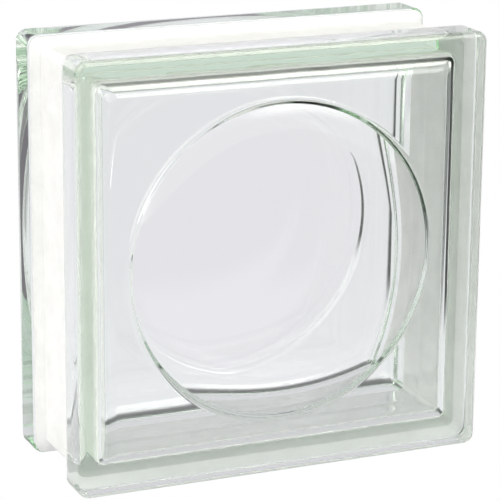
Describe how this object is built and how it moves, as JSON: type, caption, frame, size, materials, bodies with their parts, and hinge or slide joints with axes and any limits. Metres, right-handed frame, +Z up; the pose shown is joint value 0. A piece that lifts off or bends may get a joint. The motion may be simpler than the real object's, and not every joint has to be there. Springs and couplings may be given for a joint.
{
  "type": "glass block",
  "caption": "Hollow square glass building block with a round lens in each face and a white-coated mortar groove round its edge.",
  "frame": {"origin": "middle of the lower edge, on the plane the block stands on", "axes": "+Z up, +X along the width of the face, -Y out of the front face"},
  "size_m": [0.19, 0.08, 0.19],
  "materials": {
    "clear_glass": "clear pressed glass with a faint green tint",
    "white_coating": "matte white brushed coat"
  },
  "bodies": {
    "root": {"glass_body": "clear_glass", "edge_coating": "white_coating"}
  },
  "joints": []
}
